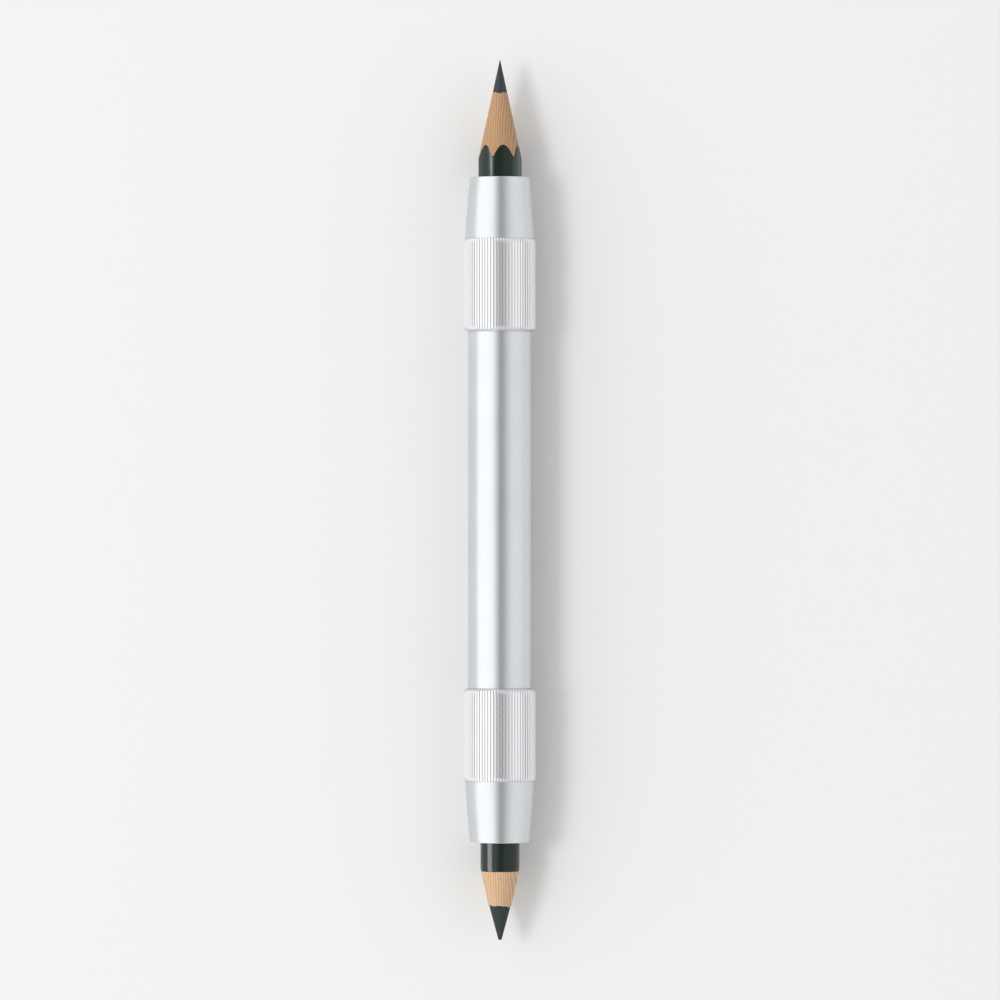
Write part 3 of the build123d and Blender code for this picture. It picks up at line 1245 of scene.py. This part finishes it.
    def make(self) -> list[bpy.types.Object]:
        """Build and dress the pencil's pieces.

        Returns:
            The lacquer skin, the core and the two slats.
        """
        stem = self.end.stem
        made = [
            (self.build_lacquer(), self.lacquer, f"{stem}_lacquer"),
            (self.build_core(), self.core_finish, self.core_node),
        ]
        for half in Half:
            made.append((self.build_slat(half), self.cedar, f"{stem}_slat_{half.name.lower()}"))
        for piece, finish, node in made:
            smooth(piece)
            finish_piece(piece, finish, f"{stem}_pencil", node)
        return [piece for piece, finish, node in made]


@dataclass
class GraphitePencil(Pencil):
    """The six-sided pencil with a fine graphite point."""

    end: End = End.GRAPHITE
    length: float = 60.0
    shown: float = 21.2
    core_radius: float = 1.275
    tip_radius: float = 0.06
    tip_steps: int = 5
    core_node: str = "graphite_lead"
    core_finish: Finish = GRAPHITE
    cedar: Finish = CEDAR
    across_flats: float = 7.0
    corner_radius: float = 0.6
    turn_degrees: float = 10.0
    flat_steps: int = 10
    corner_steps: int = 6

    @property
    def corner_reach(self) -> float:
        """How far off the axis the centres of the rounded corners lie."""
        return (self.across_flats / 2 - self.corner_radius) / math.cos(SIXTH / 2)

    def twist(self) -> float:
        """The pencil's top flat is turned a little towards -Y."""
        return math.radians(self.turn_degrees)

    def flat_edge(self, inset: float) -> float:
        """The angle from a flat's middle to where its corner starts to round."""
        return math.atan2(self.corner_reach * math.sin(SIXTH / 2), self.across_flats / 2 - inset)

    def body_radius(self, angle: float, inset: float) -> float:
        """Follow the rounded hexagon.

        Args:
            angle: an angle from a flat's middle, in radians.
            inset: how far in from the lacquer's outside.

        Returns:
            The radius there.
        """
        off = abs((angle + SIXTH / 2) % SIXTH - SIXTH / 2)
        if off <= self.flat_edge(inset):
            return (self.across_flats / 2 - inset) / math.cos(off)
        lean = SIXTH / 2 - off
        side = self.corner_reach * math.sin(lean)
        rounding = math.sqrt((self.corner_radius - inset) ** 2 - side**2)
        return self.corner_reach * math.cos(lean) + rounding

    def half_turn(self) -> list[float]:
        """Give angles over three flats, closer together on the rounded corners.

        Returns:
            The angles from the middle flat's middle, in radians.
        """
        edge = self.flat_edge(0.0)
        flat = spread(-edge, edge, self.flat_steps)
        side = flat + spread(edge, SIXTH - edge, self.corner_steps)[1:-1]
        half_corner = spread(edge, SIXTH / 2, self.corner_steps // 2)[1:]
        first = [-a - SIXTH for a in reversed(half_corner)] + [a - SIXTH for a in side]
        return first + side + [a + SIXTH for a in flat + half_corner]

    def cone_foot(self) -> tuple[float, float]:
        """Where the cone meets the rounded tip."""
        lean = math.radians(self.half_angle)
        return self.tip_radius * math.cos(lean), self.tip - self.tip_radius * (1 - math.sin(lean))

    def wood_end(self) -> float:
        """Where the cone is as wide as the lead."""
        return self.on_cone(self.core_radius)

    def point_profile(self) -> Profile:
        """Draw a long cone and a small round tip.

        Returns:
            The outline from the wood to just short of the tip.
        """
        places = spread(self.wood_end(), self.cone_foot()[1], self.core_rows)
        centre = (0.0, self.tip - self.tip_radius)
        tip = arc(centre, self.tip_radius, self.half_angle, 90, self.tip_steps)
        return [(self.cone_radius(place), place) for place in places] + tip[1:-1]


@dataclass
class CharcoalPencil(Pencil):
    """The round pencil with a thick, blunt charcoal point."""

    end: End = End.CHARCOAL
    length: float = 50.0
    shown: float = 17.66
    core_radius: float = 1.85
    tip_radius: float = 0.36
    tip_steps: int = 8
    core_node: str = "charcoal_core"
    core_finish: Finish = CHARCOAL
    cedar: Finish = PALE_CEDAR
    diameter: float = 7.07
    bare_point: float = 5.86
    wood_rim: float = 0.15
    half_steps: int = 48

    def body_radius(self, angle: float, inset: float) -> float:
        """The round pencil's radius."""
        return self.diameter / 2 - inset

    def half_turn(self) -> list[float]:
        """Even angles over half a turn."""
        return spread(-math.pi / 2, math.pi / 2, self.half_steps)

    def cone_foot(self) -> tuple[float, float]:
        """The cedar's rim round the bare charcoal."""
        return self.core_radius + self.wood_rim, self.wood_end()

    def wood_end(self) -> float:
        """Where the bare charcoal starts."""
        return self.tip - self.bare_point

    def point_profile(self) -> Profile:
        """Draw a bare point that narrows to a blunt round tip.

        Returns:
            The outline from the wood to just short of the tip.
        """
        wide, round_off, start = self.core_radius, self.tip_radius, self.wood_end()
        centre = self.tip - round_off
        run = centre - start
        lean = math.atan2(wide, run) - math.asin(round_off / math.hypot(wide, run))
        tip = arc((0.0, centre), round_off, math.degrees(lean), 90, self.tip_steps)[:-1]
        foot_radius, foot = tip[0]
        shares = spread(0.0, 1.0, self.core_rows)[:-1]
        return [(between(wide, foot_radius, t), between(start, foot, t)) for t in shares] + tip


# The studio


@dataclass
class Studio:
    """A pale table under soft light, with the camera straight above."""

    camera_height: float = 1300.0
    framed_length: float = 180.5
    sensor: float = 36.0
    table_size: float = 6000.0
    table_finish: Finish = TABLE
    key_angle: float = 35.0
    key_distance: float = 1200.0
    key_size: tuple[float, float] = (260.0, 260.0)
    key_power: float = 3.9
    strip_angle: float = 64.0
    strip_distance: float = 1000.0
    strip_size: tuple[float, float] = (1000.0, 500.0)
    strip_power: float = 10.0
    # Brightness of the light tent by the angle from straight up towards +Y, in degrees: a broad
    # soft light on the +Y side, a dim gap overhead and a weaker fill on the -Y side
    tent: tuple[tuple[float, float], ...] = (
        (-180, 0.85), (-95, 0.9), (-75, 0.98), (-45, 0.99), (-30, 0.83), (-18, 0.59),
        (-9, 0.41), (-3, 0.35), (3, 0.43), (10, 0.71), (18, 1.09), (28, 1.37),
        (60, 1.42), (86, 1.42), (95, 0.95), (180, 0.85),
    )

    def build_table(self) -> None:
        """Lay a large flat top at the height that the extender lies on."""
        half = self.table_size * MM / 2
        corners = [(-half, -half, 0), (half, -half, 0), (half, half, 0), (-half, half, 0)]
        data = bpy.data.meshes.new("table")
        data.from_pydata(corners, [], [(0, 1, 2, 3)])
        data.materials.append(self.table_finish.material())
        table = bpy.data.objects.new("table", data)
        bpy.context.scene.collection.objects.link(table)

    def build_light(self) -> None:
        """Hang a light tent whose brightness follows the angle about the extender's axis."""
        world = bpy.data.worlds.new("Light tent")
        world.use_nodes = True
        tree = world.node_tree
        way = add(tree, "ShaderNodeTexCoord").outputs["Generated"]
        part = add(tree, "ShaderNodeSeparateXYZ", {0: way}).outputs
        angle = add(tree, "ShaderNodeMath", {0: part["Y"], 1: part["Z"]}, operation="ARCTAN2")
        round_axis = {"Value": angle, "From Min": -math.pi, "From Max": math.pi}
        turn = add(tree, "ShaderNodeMapRange", round_axis)
        walls = add(tree, "ShaderNodeValToRGB", {"Fac": turn})
        walls.color_ramp.interpolation = "EASE"
        stops = walls.color_ramp.elements
        for degrees, _ in self.tent[1:-1]:
            stops.new(degrees / 360 + 0.5)
        for stop, (_, level) in zip(stops, self.tent):
            stop.color = (level, level, level, 1.0)
        plug(tree.nodes["Background"], {"Color": walls})
        bpy.context.scene.world = world

    def build_lamp(
        self, name: str, angle: float, distance: float, size: tuple[float, float], power: float
    ) -> bpy.types.Object:
        """Set up a soft lamp on the +Y side, turned to the extender and out of the camera's sight.

        Args:
            name: the lamp's name.
            angle: how far it leans from straight up, in degrees.
            distance: how far off it stands.
            size: its sides along and across the extender.
            power: its power in watts.

        Returns:
            The lamp.
        """
        data = bpy.data.lights.new(name, "AREA")
        data.shape = "RECTANGLE"
        data.size, data.size_y = (side * MM for side in size)
        data.energy = power
        lamp = bpy.data.objects.new(name, data)
        lean = Matrix.Rotation(-math.radians(angle), 4, "X")
        lamp.matrix_world = lean @ Matrix.Translation((0, 0, distance * MM))
        lamp.visible_camera = False
        bpy.context.scene.collection.objects.link(lamp)
        return lamp

    def build_lamps(self, lacquered: Sequence[bpy.types.Object]) -> None:
        """Set up a key lamp for the shadow, and a strip for the lacquer's gloss.

        Args:
            lacquered: the pieces that the strip lights.
        """
        key = self.build_lamp(
            "key", self.key_angle, self.key_distance, self.key_size, self.key_power
        )
        # The tent alone draws the metal's bands
        key.visible_glossy = False
        strip = self.build_lamp(
            "gloss_strip", self.strip_angle, self.strip_distance, self.strip_size, self.strip_power
        )
        lit = bpy.data.collections.new("lacquered")
        for piece in lacquered:
            lit.objects.link(piece)
        strip.light_linking.receiver_collection = lit

    def build_camera(self) -> None:
        """Set a long lens straight above the extender, with the graphite point upwards."""
        data = bpy.data.cameras.new("camera")
        low, high = cad_box
        middle = (low + high) / 2
        drop = self.camera_height * MM - middle.z
        data.sensor_width = self.sensor
        data.lens = self.sensor * drop / (self.framed_length * MM)
        camera = bpy.data.objects.new("camera", data)
        camera.location = (middle.x, middle.y, self.camera_height * MM)
        camera.rotation_euler = (0, 0, -math.pi / 2)
        bpy.context.scene.collection.objects.link(camera)
        bpy.context.scene.camera = camera

    def make(self, lacquered: Sequence[bpy.types.Object]) -> None:
        """Build the table, the lights and the camera.

        Args:
            lacquered: the pieces whose gloss has a light of its own.
        """
        self.build_table()
        self.build_light()
        self.build_lamps(lacquered)
        self.build_camera()
        bpy.context.scene.view_settings.view_transform = "Standard"


def main() -> None:
    """Build the extender, its pencils and the studio, and report each piece."""
    logging.basicConfig(level=logging.INFO, format="%(name)s: %(message)s")
    knurl = StraightKnurl()
    sleeves = [ClampSleeve(end, knurl) for end in End]
    made = []
    for assembly in (Barrel(), *sleeves, ClampWorks(), GraphitePencil(), CharcoalPencil()):
        for piece in assembly.make():
            made.append(piece)
            finish = piece.active_material.name
            log.info("%s: %d faces, %s", piece.name, len(piece.data.polygons), finish)
    lacquer = LACQUER.material()
    Studio().make([piece for piece in made if piece.active_material == lacquer])
    log.info("studio: table, light tent, two lamps and camera")


if __name__ == "__main__":
    main()
